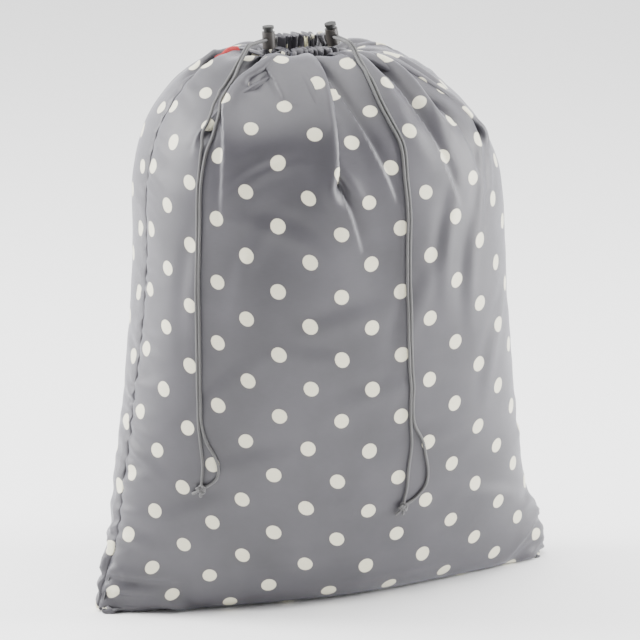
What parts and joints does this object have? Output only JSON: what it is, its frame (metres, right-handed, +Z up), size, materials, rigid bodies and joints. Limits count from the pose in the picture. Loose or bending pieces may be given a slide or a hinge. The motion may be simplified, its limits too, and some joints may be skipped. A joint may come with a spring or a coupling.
{
  "type": "laundry bag",
  "caption": "Drawstring laundry bag of dotted cloth, stuffed full and standing, with a gathered mouth, drawcords knotted at their ends and push-button cord locks.",
  "frame": {"origin": "on the ground under the middle of the stuffed bag", "axes": "+Z up from the ground, X along the bag's width, the front with the hanging cords faces -Y"},
  "size_m": [0.412, 0.2253, 0.4829],
  "materials": {
    "dotted_fabric": "grey satin polyester with cream dots",
    "binding": "dark grey woven tape",
    "tab_red": "plain red ribbon",
    "label_cream": "plain satin label",
    "cord_grey": "braided polyester cord",
    "lock_barrel": "moulded, satin",
    "lock_plunger": "moulded, satin",
    "spring_steel": "drawn wire"
  },
  "bodies": {
    "bag": {"front_panel": "dotted_fabric", "back_panel": "dotted_fabric", "casing_front": "dotted_fabric", "casing_back": "dotted_fabric", "seam_tape_left": "binding", "seam_tape_right": "binding", "seam_tape_bottom": "binding", "side_tab": "tab_red", "care_label": "label_cream", "left_cord": "cord_grey", "right_cord": "cord_grey", "left_knot": "cord_grey", "right_knot": "cord_grey"},
    "left_lock": {"left_lock_barrel": "lock_barrel", "left_lock_spring": "spring_steel"},
    "left_button": {"left_lock_plunger": "lock_plunger"},
    "right_lock": {"right_lock_barrel": "lock_barrel", "right_lock_spring": "spring_steel"},
    "right_button": {"right_lock_plunger": "lock_plunger"}
  },
  "joints": [
    {"name": "left_lock_slide", "type": "slide", "parent": "bag", "child": "left_lock", "axis": [-0.8551, -0.5138, -0.0698], "range_m": [0, 0.018]},
    {"name": "left_lock_press", "type": "slide", "parent": "left_lock", "child": "left_button", "axis": [0.0598, 0.0359, -0.9976], "range_m": [0, 0.0023], "stiffness_N_per_m": 1200, "springref_m": -0.0008, "deforming": ["left_lock_spring"]},
    {"name": "right_lock_slide", "type": "slide", "parent": "bag", "child": "right_lock", "axis": [0.1561, -0.9853, -0.0698], "range_m": [0, 0.018]},
    {"name": "right_lock_press", "type": "slide", "parent": "right_lock", "child": "right_button", "axis": [0.2284, 0.1047, -0.9679], "range_m": [0, 0.0023], "stiffness_N_per_m": 1200, "springref_m": -0.0008, "deforming": ["right_lock_spring"]}
  ]
}
